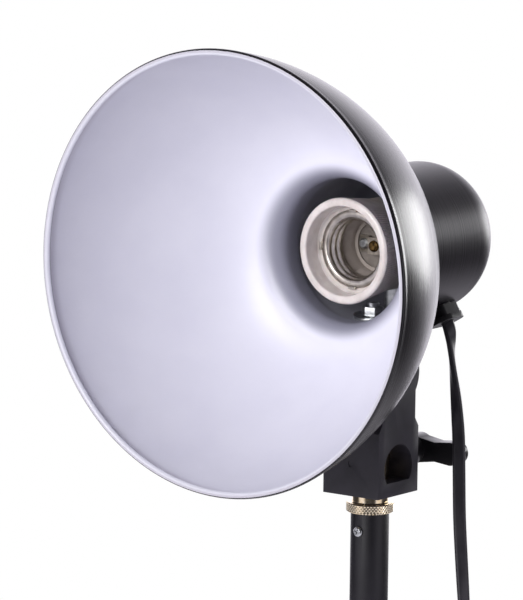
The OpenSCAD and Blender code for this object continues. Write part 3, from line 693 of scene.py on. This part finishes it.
# rear cup: spun, with a full round at the back
cupSettings = {
    "radius": cupRadius,
    "back": cupHigh.y,
    "mouth": -cupLow.y,
    "corner": 20.5 * mm,
    "cornerTurn": range(0, 91, 5),
    "sheet": 0.8 * mm,
    "edge": 0.2 * mm,
    "wallRows": 8,
    "flatRows": 4,
    "spinSteps": 128,
}


def cupCorner(s, radius):
    return [(s["radius"] - s["corner"] + radius * math.cos(math.radians(a)),
             s["corner"] - s["back"] - radius * math.sin(math.radians(a))) for a in s["cornerTurn"]]


def buildCup(s):
    wallRows = [(s["radius"], s["mouth"] + (s["corner"] - s["back"] - s["mouth"]) * k / s["wallRows"])
                for k in range(s["wallRows"])]
    flatRows = [((s["radius"] - s["corner"]) * k / s["flatRows"], -s["back"])
                for k in reversed(range(s["flatRows"]))]
    inside = s["radius"] - s["sheet"]
    profile = ([(inside, s["mouth"]), (s["radius"] - s["edge"], s["mouth"])] + wallRows[1:]
               + cupCorner(s, s["corner"]) + flatRows + [(0, s["sheet"] - s["back"])]
               + cupCorner(s, s["corner"] - s["sheet"])[::-1] + [(inside, s["mouth"])])
    piece = spinProfile("rearCup", profile, s["spinSteps"], lampMid, lampForward, sideways)
    smoothEdges(piece, 50)
    dressPiece(piece, "head", ["lamp_cup"], "cup", finish["blackAnodisedSpunCup"], finish["greyPrimer"])
    for face in piece.data.polygons:
        inner = face.center - lampMid - Vector((0, min(s["back"] - s["corner"], face.center.y), 0))
        face.material_index = 1 if face.normal.dot(inner) < 0 else 0
    return piece


buildCup(cupSettings)
print("cup spun")


# porcelain holder: ribbed outside, deep mouth with the shell set back in it
holderLow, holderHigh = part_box("lamp_holder")
holderSettings = {
    "radius": (holderHigh.x - holderLow.x) / 2,
    "front": -holderLow.y,
    "back": -holderHigh.y,
    "lip": 1.4 * mm,
    "lipTurn": range(0, 91, 15),
    "inLip": 0.7 * mm,
    "inLipTurn": range(0, 91, 30),
    "mouth": 18.5 * mm,
    "shoulder": 13.8 * mm,
    "bore": 14.0 * mm,
    "floor": -3 * mm,
    "rear": 2.7 * mm,
    "rearLength": 14 * mm,
    "chamfer": 1 * mm,
    "step": 0.6 * mm,
    "ribs": 132,
    "ribDepth": 0.985,
    "ribStop": 1.3 * mm,
    "near": 0.05 * mm,
}


def buildHolder(s):
    r, e, i = s["radius"], s["lip"], s["inLip"]
    lip = [(r - e + e * math.cos(math.radians(a)), s["front"] - e + e * math.sin(math.radians(a)))
           for a in s["lipTurn"]]
    inLip = [(s["mouth"] + i - i * math.sin(math.radians(a)), s["front"] - i + i * math.cos(math.radians(a)))
             for a in s["inLipTurn"]]
    rear = r - s["rear"]
    sides = [(rear, s["back"] + s["chamfer"]), (rear, s["back"] + s["rearLength"])]
    profile = ([(0, s["back"]), (rear - s["chamfer"], s["back"])] + sides + lip + inLip
               + [(s["mouth"], s["shoulder"] + s["step"]), (s["mouth"] - s["step"], s["shoulder"]),
                  (s["bore"], s["shoulder"]), (s["bore"], s["floor"]), (0, s["floor"])])
    piece = spinProfile("porcelainHolder", profile, 2 * s["ribs"], lampMid, lampForward, sideways)
    pitch = math.pi / s["ribs"]
    onRib = lambda co: (math.hypot(co.x, co.z - lampZ) > rear - s["near"] and -co.y < s["front"] - s["ribStop"]
                        and round(math.atan2(co.z - lampZ, co.x) / pitch) % 2)
    pickOnly(piece)
    bpy.ops.object.mode_set(mode="EDIT")
    chooseVerts(piece, onRib)
    bpy.ops.transform.resize(value=(s["ribDepth"], 1, s["ribDepth"]), center_override=lampMid)
    bpy.ops.object.mode_set(mode="OBJECT")
    smoothEdges(piece, 30)
    dressPiece(piece, "head", ["lamp_holder"], "porcelain", finish["glazedPorcelain"],
               finish["brownedPorcelain"])
    # the faces in the well take the porcelain with the painted shade
    for face in piece.data.polygons:
        fromAxis = math.hypot(face.center.x, face.center.z - lampZ)
        inWell = fromAxis < s["bore"] + s["near"] and s["back"] < -face.center.y - s["chamfer"]
        face.material_index = 1 if inWell else 0
    return piece


buildHolder(holderSettings)
print("porcelain made")


# rolled screw thread pushed into a spun wall: a wave that climbs one pitch in each turn
def rollThread(piece, middle, axis, pitch, depth, start, end, fade):
    side = axis.orthogonal().normalized()
    up = axis.cross(side)
    for vert in piece.data.vertices:
        arm = vert.co - middle
        along = arm.dot(axis)
        if not start < along < end:
            continue
        flat = arm - axis * along
        turn = math.atan2(flat.dot(up), flat.dot(side))
        ease = min(1, (along - start) / fade, (end - along) / fade)
        wave = 0.5 + 0.5 * math.cos(2 * math.pi * along / pitch - turn)
        vert.co -= flat.normalized() * depth * ease * wave


# nickel shell with its rolled thread, and the four tabs that hold it in the porcelain
shellSettings = {
    "radius": 13.35 * mm,
    "sheet": 0.45 * mm,
    "flange": 15.8 * mm,
    "seat": 13.9 * mm,
    "threadEnd": 4.2 * mm,
    "floor": -2.9 * mm,
    "pitch": 3.63 * mm,
    "threadDepth": 1.1 * mm,
    "threadRows": 44,
    "threadLead": 0.5 * mm,
    "threadFade": 1.2 * mm,
    "spinSteps": 96,
    "edge": 0.3 * mm,
    "lipTop": 0.55 * mm,
    "lipIn": 0.5 * mm,
    "throat": (0.1 * mm, 0.35 * mm),
    "footIn": 1.8 * mm,
    "footDrop": 3 * mm,
    "footHole": 3.6 * mm,
    "wallShare": 0.8,
    "tabs": 4,
    "tab": Vector((3.4, 1.0, 2.0)) * mm,
    "tabOut": 0.2 * mm,
    "tabLift": 0.9 * mm,
}


def buildShell(s):
    r, seat, rows = s["radius"], s["seat"], s["threadRows"]
    wall = [(r, seat + (s["threadEnd"] - seat) * k / rows) for k in range(rows + 1)]
    lip = [(s["flange"], seat), (s["flange"], seat + s["edge"]), (s["flange"] - s["edge"], seat + s["lipTop"]),
           (r + s["lipIn"], seat + s["lipTop"]), (r + s["throat"][0], seat + s["throat"][1])]
    foot = [(r - s["footIn"], s["threadEnd"] - s["footDrop"]), (r - s["footIn"], s["floor"] + s["sheet"]),
            (r - s["footHole"], s["floor"] + s["sheet"])]
    piece = spinProfile("nickelShell", lip + wall[1:] + foot, s["spinSteps"], lampMid, lampForward, sideways)
    rollThread(piece, lampMid, lampForward, s["pitch"], s["threadDepth"],
               s["threadEnd"] - s["threadLead"], seat, s["threadFade"])
    pickOnly(piece)
    bpy.ops.object.mode_set(mode="EDIT")
    bpy.ops.mesh.select_all(action="SELECT")
    bpy.ops.mesh.normals_make_consistent(inside=True)
    bpy.ops.object.mode_set(mode="OBJECT")
    applyModifier(piece, "SOLIDIFY", {"thickness": s["sheet"] * s["wallShare"], "offset": -1})
    smoothEdges(piece, 50)
    for turn in range(s["tabs"]):
        deselectAll()
        spot = lampMid + lampForward * (seat + s["tabLift"]) + Vector((s["flange"] + s["tabOut"], 0, 0))
        bpy.ops.mesh.primitive_cube_add(size=1, location=spot)
        tab = bpy.context.object
        tab.scale = (s["tab"].y, s["tab"].z, s["tab"].x)
        bpy.ops.object.transform_apply(location=True, rotation=False, scale=True)
        bpy.ops.object.mode_set(mode="EDIT")
        bpy.ops.mesh.select_all(action="SELECT")
        bpy.ops.transform.rotate(value=turn * 2 * math.pi / s["tabs"], orient_axis="Y", center_override=lampMid)
        bpy.ops.object.mode_set(mode="OBJECT")
        applyModifier(tab, "BEVEL", {"width": s["edge"], "segments": 2})
        pickOnly(tab)
        piece.select_set(True)
        bpy.context.view_layer.objects.active = piece
        bpy.ops.object.join()
    dressPiece(piece, "head", ["screw_shell"], "nickel", finish["nickelPlatedBrass"], finish["oxidisedNickel"])
    # the foot below the thread takes the painted shade of the well
    for face in piece.data.polygons:
        face.material_index = 1 if -face.center.y < s["threadEnd"] - s["edge"] else 0
    return piece


buildShell(shellSettings)
print("shell rolled")


# spigot: turned brass with a diamond-knurled collar
spigotLow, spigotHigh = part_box("brass_spigot")
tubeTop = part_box("stand_tube")[1].z
spigotSettings = {
    "bottom": spigotLow.z,
    "top": spigotHigh.z,
    "shank": 6.7 * mm,
    "spigot": 7.5 * mm,
    "collar": (spigotHigh.x - spigotLow.x) / 2,
    "collarHeight": 4.0 * mm,
    "collarEdge": 0.5 * mm,
    "collarStep": 0.6 * mm,
    "root": 0.4 * mm,
    "chamfer": 1 * mm,
    "knurls": 42,
    "perKnurl": 8,
    "rows": 17,
    "knurlDepth": 0.36 * mm,
    "near": 0.05 * mm,
    "rowGap": 0.01 * mm,
}


# two sets of grooves that cross, one climbing to each side
def pressKnurl(piece, s, low, high):
    pitch = 2 * math.pi * s["collar"] / s["knurls"]
    ridge = lambda t: abs(2 * (t % 1) - 1)
    for vert in piece.data.vertices:
        out = math.hypot(vert.co.x, vert.co.y)
        if out < s["collar"] - s["near"] or not low - s["rowGap"] < vert.co.z < high + s["rowGap"]:
            continue
        around = math.atan2(vert.co.y, vert.co.x) * s["knurls"] / (2 * math.pi)
        climb = (vert.co.z - low) / pitch
        tall = min(ridge(around + climb), ridge(around - climb))
        vert.co.xy *= (out - s["knurlDepth"] * (1 - tall)) / out


def buildSpigot(s):
    low, high = tubeTop + s["collarEdge"], tubeTop + s["collarHeight"] - s["collarEdge"]
    band = [(s["collar"], low + (high - low) * k / (s["rows"] - 1)) for k in range(s["rows"])]
    top = tubeTop + s["collarHeight"]
    shank = [(0, s["bottom"]), (s["shank"] - s["chamfer"], s["bottom"]),
             (s["shank"], s["bottom"] + s["chamfer"]), (s["shank"], tubeTop),
             (s["collar"] - s["collarStep"], tubeTop)]
    spigot = [(s["collar"] - s["collarStep"], top), (s["spigot"] + s["root"], top),
              (s["spigot"], top + s["root"]), (s["spigot"], s["top"] - s["chamfer"]),
              (s["spigot"] - s["chamfer"], s["top"]), (0, s["top"])]
    piece = spinProfile("brassSpigot", shank + band + spigot, s["knurls"] * s["perKnurl"],
                        Vector((0, 0, 0)), Vector((0, 0, 1)), sideways)
    pressKnurl(piece, s, low, high)
    smoothEdges(piece, 28)
    dressPiece(piece, "stand", ["brass_spigot"], "brass", finish["turnedBrass"], finish["knurlShadeAndHighlightBrass"])
    # the collar's faces take the brass with the knurl's painted shade and highlight
    for face in piece.data.polygons:
        fromAxis = math.hypot(face.center.x, face.center.y)
        onCollar = fromAxis > s["collar"] - s["chamfer"] and low < face.center.z < high
        face.material_index = 1 if onCollar else 0
    return piece


buildSpigot(spigotSettings)
print("spigot turned")


# clamp screw: its thread shows between the block and the wing
screwLow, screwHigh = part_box("clamp_screw")
screwSettings = {"radius": 3 * mm, "pitch": 1 * mm, "depth": 0.55 * mm, "steps": 36, "row": 0.125 * mm,
                 "chamfer": 0.5 * mm, "lead": 0.1 * mm, "fade": 1 * mm}


def buildClampScrew(s):
    length = screwHigh.y - screwLow.y
    middle = Vector((0, screwLow.y, (screwLow.z + screwHigh.z) / 2))
    count = round(length / s["row"])
    rows = [(s["radius"], length * k / count) for k in range(1, count)]
    tip = s["radius"] - s["chamfer"]
    profile = [(0, 0), (tip, 0)] + rows + [(tip, length), (0, length)]
    backward = Vector((0, 1, 0))
    piece = spinProfile("clampScrew", profile, s["steps"], middle, backward, sideways)
    rollThread(piece, middle, backward, s["pitch"], s["depth"], s["lead"], length - s["lead"], s["fade"])
    smoothEdges(piece, 60)
    return dressPiece(piece, "clamp_wing", ["clamp_screw"], "steel", finish["boltSteel"])


buildClampScrew(screwSettings)
print("clamp screw cut")


# tube screw: the CAD form with a cross recess cut into its head
pinLow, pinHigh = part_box("tube_screw")
crossSettings = {"width": 0.6 * mm, "length": 2.5 * mm, "depth": 0.8 * mm, "turn": math.radians(20),
                 "edge": 0.15 * mm}


def buildTubeScrew(s):
    piece = softenedCopy("tube_screw", "tubeScrew", s["edge"])
    face = Vector((0, pinLow.y, (pinLow.z + pinHigh.z) / 2))
    for quarter in (0, math.pi / 2):
        deselectAll()
        bpy.ops.mesh.primitive_cube_add(size=1, location=face, rotation=(0, s["turn"] + quarter, 0))
        blade = bpy.context.object
        blade.scale = (s["length"], 2 * s["depth"], s["width"])
        bpy.ops.object.transform_apply(location=True, rotation=True, scale=True)
        applyModifier(piece, "BOOLEAN", {"operation": "DIFFERENCE", "object": blade})
        pickOnly(blade)
        bpy.ops.object.delete()
    smoothEdges(piece, 40)
    return dressPiece(piece, "stand", ["tube_screw"], "steel", finish["zincPlatedSteel"])


buildTubeScrew(crossSettings)
print("tube screw recessed")


# mouldings and pressings that keep the CAD form, with softened edges
softened = [
    ("swivel_block", "swivelBlock", 0.6 * mm, "swivel", "block_plastic", finish["glassFilledNylon"]),
    ("clamp_wing", "clampWing", 2.4 * mm, "clamp_wing", "wing_plastic", finish["mouldedNylon"]),
    ("tilt_wing", "tiltWing", 2.4 * mm, "tilt_wing", "wing_plastic", finish["mouldedNylon"]),
    ("tilt_tongue", "tiltTongue", 0.5 * mm, "head", "block_plastic", finish["glassFilledNylon"]),
    ("cord_gland", "flexBushing", 0.35 * mm, "head", "gland", finish["bushingNylon"]),
    ("gland_wedge", "bushingWedge", 0.12 * mm, "head", "gland", finish["bushingNylon"]),
    ("stand_tube", "standTube", 0.2 * mm, "stand", "black_tube", finish["blackStovedPaint"]),
    ("head_nut", "studNut", 0.3 * mm, "head", "zinc", finish["zincPlatedSteel"]),
    ("holder_bracket", "holderBracket", 0.25 * mm, "head", "zinc", finish["zincPlatedSteel"]),
]
for node, name, width, body, slot, material in softened:
    dressPiece(softenedCopy(node, name, width), body, [node], slot, material)
print("mouldings softened")


# CAD nodes that stay as they are, with the finish of their metal or plastic
kept = {
    "turnedBrass": ["clamp_insert", "clamp_pad", "tilt_insert"],
    "boltSteel": ["tilt_bolt", "contact_screw"],
    "zincPlatedSteel": ["tilt_washer", "head_stud", "bracket_screws", "terminal_screws"],
    "tinnedBrass": ["centre_contact", "terminals"],
    "heatedBrass": ["contact_rivet"],
    "brownVinyl": ["live_wire"],
    "blueVinyl": ["return_wire"],
    "nickelPlatedBrass": ["plug_pins"],
}
for coat, nodes in kept.items():
    for node in nodes:
        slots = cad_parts[node].data.materials
        for index in range(len(slots)):
            slots[index] = finish[coat]
print("kept nodes painted")


# floor: pale, keeps the shadow near the part and goes to plain white further off
floorSettings = {"size": 30.0, "drop": 2 * mm, "colour": "#EDEDEE", "shadowOut": 0.35, "whiteFrom": 0.7}


def buildFloor(s):
    deselectAll()
    bpy.ops.mesh.primitive_plane_add(size=s["size"], location=(0, 0, cadLow.z - s["drop"]))
    floor = bpy.context.object
    floor.name = "paleFloor"
    material = bpy.data.materials.new("palePaper")
    material.use_nodes = True
    tree = material.node_tree
    tree.nodes.clear()
    place = addNode(tree, "ShaderNodeTexCoord").outputs["Object"]
    away = addNode(tree, "ShaderNodeVectorMath", {"operation": "LENGTH"}, {0: place})
    far = addNode(tree, "ShaderNodeMapRange",
                  {"interpolation_type": "SMOOTHSTEP", "From Min": s["shadowOut"], "From Max": s["whiteFrom"]},
                  {"Value": away.outputs["Value"]})
    ray = addNode(tree, "ShaderNodeLightPath")
    seen = addNode(tree, "ShaderNodeMath", {"operation": "MAXIMUM"},
                   {0: ray.outputs["Is Camera Ray"], 1: ray.outputs["Is Transmission Ray"]})
    share = addNode(tree, "ShaderNodeMath", {"operation": "MULTIPLY"},
                    {0: far.outputs["Result"], 1: seen.outputs["Value"]})
    paper = addNode(tree, "ShaderNodeBsdfDiffuse", {"Color": srgb(s["colour"])})
    white = addNode(tree, "ShaderNodeEmission", {"Strength": 1.0})
    mix = addNode(tree, "ShaderNodeMixShader", links={0: share.outputs["Value"], 1: paper.outputs["BSDF"],
                                                      2: white.outputs["Emission"]})
    addNode(tree, "ShaderNodeOutputMaterial", links={"Surface": mix.outputs["Shader"]})
    floor.data.materials.append(material)
    floor.visible_glossy = False


buildFloor(floorSettings)


# light: a large soft box up in front, a long low one behind that leans to one side,
# and a room that lights the part and shows in its gloss, while the picture's background stays plain white
lightSettings = {
    "middle": Vector((-0.02, -0.04, 0.15)),
    "softBox": {"from": Vector((0.0, -1.98, 0.62)), "size": 1.1, "tall": 1.1, "turn": 0, "power": 34.5},
    "backBox": {"from": Vector((0.42, 1.65, 0.16)), "size": 1.2, "tall": 0.47, "turn": -20, "power": 10.0},
    "roomBehind": 1.8,
    "roomInFront": 0.24,
    "wallFrom": 0.52,
    "wallFull": 1.0,
    "panels": [-20, 93],
    "panelHalf": 22,
    "panelSoft": 6,
    "panel": 1.2,
    "underneath": 0.22,
    "underLean": 0.85,
    "underFrom": 0.46,
    "underTo": 0.57,
    "table": 1.0,
    "tableFull": -0.65,
    "tableFrom": -0.3,
    "colour": "#F9F5FF",
}


def addSoftLight(name, s, middle):
    spot = middle + s["from"]
    bpy.ops.object.light_add(type="AREA", location=spot)
    lamp = bpy.context.object
    lamp.name = name
    lamp.data.shape = "RECTANGLE"
    lamp.data.size = s["size"]
    lamp.data.size_y = s["tall"]
    lamp.data.energy = s["power"]
    lamp.rotation_euler = (middle - spot).to_track_quat("-Z", "Y").to_euler()
    lamp.rotation_euler.rotate_axis("Z", math.radians(s["turn"]))


# pale behind the part, dim in front with a pale panel on each side, and a table below
def lightRoom(s):
    world = bpy.data.worlds.new("paleRoom")
    bpy.context.scene.world = world
    world.use_nodes = True
    tree = world.node_tree
    tree.nodes.clear()
    way = addNode(tree, "ShaderNodeTexCoord").outputs["Generated"]
    split = addNode(tree, "ShaderNodeSeparateXYZ", links={"Vector": way})
    toBack = Vector((-towardCamera.x, -towardCamera.y, 0)).normalized()
    facing = addNode(tree, "ShaderNodeVectorMath", {"operation": "DOT_PRODUCT", 1: toBack}, {0: way})
    wall = addNode(tree, "ShaderNodeMapRange",
                   {"interpolation_type": "SMOOTHSTEP", "From Min": s["wallFrom"], "From Max": s["wallFull"],
                    "To Min": s["roomInFront"], "To Max": s["roomBehind"]}, {"Value": facing.outputs["Value"]})
    lower = addNode(tree, "ShaderNodeMath", {"operation": "MULTIPLY_ADD", 1: s["underLean"]},
                    {0: facing.outputs["Value"], 2: split.outputs["Z"]})
    below = addNode(tree, "ShaderNodeMapRange",
                    {"interpolation_type": "SMOOTHSTEP", "From Min": s["underFrom"], "From Max": s["underTo"],
                     "To Min": s["underneath"], "To Max": 1.0}, {"Value": lower.outputs["Value"]})
    around = addNode(tree, "ShaderNodeMath", {"operation": "MULTIPLY"},
                     {0: wall.outputs["Result"], 1: below.outputs["Result"]})
    edges = [math.cos(math.radians(s["panelHalf"] + soft)) for soft in (s["panelSoft"], -s["panelSoft"])]
    for turn in s["panels"]:
        a = math.radians(turn)
        toPanel = addNode(tree, "ShaderNodeVectorMath",
                          {"operation": "DOT_PRODUCT", 1: (math.sin(a), -math.cos(a), 0)}, {0: way})
        panel = addNode(tree, "ShaderNodeMapRange",
                        {"interpolation_type": "SMOOTHSTEP", "From Min": edges[0], "From Max": edges[1],
                         "To Max": s["panel"]}, {"Value": toPanel.outputs["Value"]})
        around = addNode(tree, "ShaderNodeMath", {"operation": "MAXIMUM"},
                         {0: around.outputs["Value"], 1: panel.outputs["Result"]})
    steep = addNode(tree, "ShaderNodeMapRange",
                    {"interpolation_type": "SMOOTHSTEP", "From Min": s["tableFull"], "From Max": s["tableFrom"],
                     "To Min": s["table"], "To Max": 0.0}, {"Value": split.outputs["Z"]})
    room = addNode(tree, "ShaderNodeMath", {"operation": "MAXIMUM"},
                   {0: around.outputs["Value"], 1: steep.outputs["Result"]})
    ray = addNode(tree, "ShaderNodeLightPath")
    seen = addNode(tree, "ShaderNodeMath", {"operation": "MAXIMUM"},
                   {0: ray.outputs["Is Camera Ray"], 1: ray.outputs["Is Transmission Ray"]})
    level = addNode(tree, "ShaderNodeMix", {3: 1.0}, {0: seen.outputs["Value"], 2: room.outputs["Value"]})
    tint = addNode(tree, "ShaderNodeMix", {"data_type": "RGBA", 6: srgb(s["colour"]), 7: (1, 1, 1, 1)},
                   {0: seen.outputs["Value"]})
    light = addNode(tree, "ShaderNodeBackground",
                    links={"Color": tint.outputs[2], "Strength": level.outputs[0]})
    addNode(tree, "ShaderNodeOutputWorld", links={"Surface": light.outputs["Background"]})


addSoftLight("softBox", lightSettings["softBox"], lightSettings["middle"])
addSoftLight("backBox", lightSettings["backBox"], lightSettings["middle"])
lightRoom(lightSettings)
bpy.context.scene.view_settings.view_transform = "Standard"
print("lights set")

deselectAll()
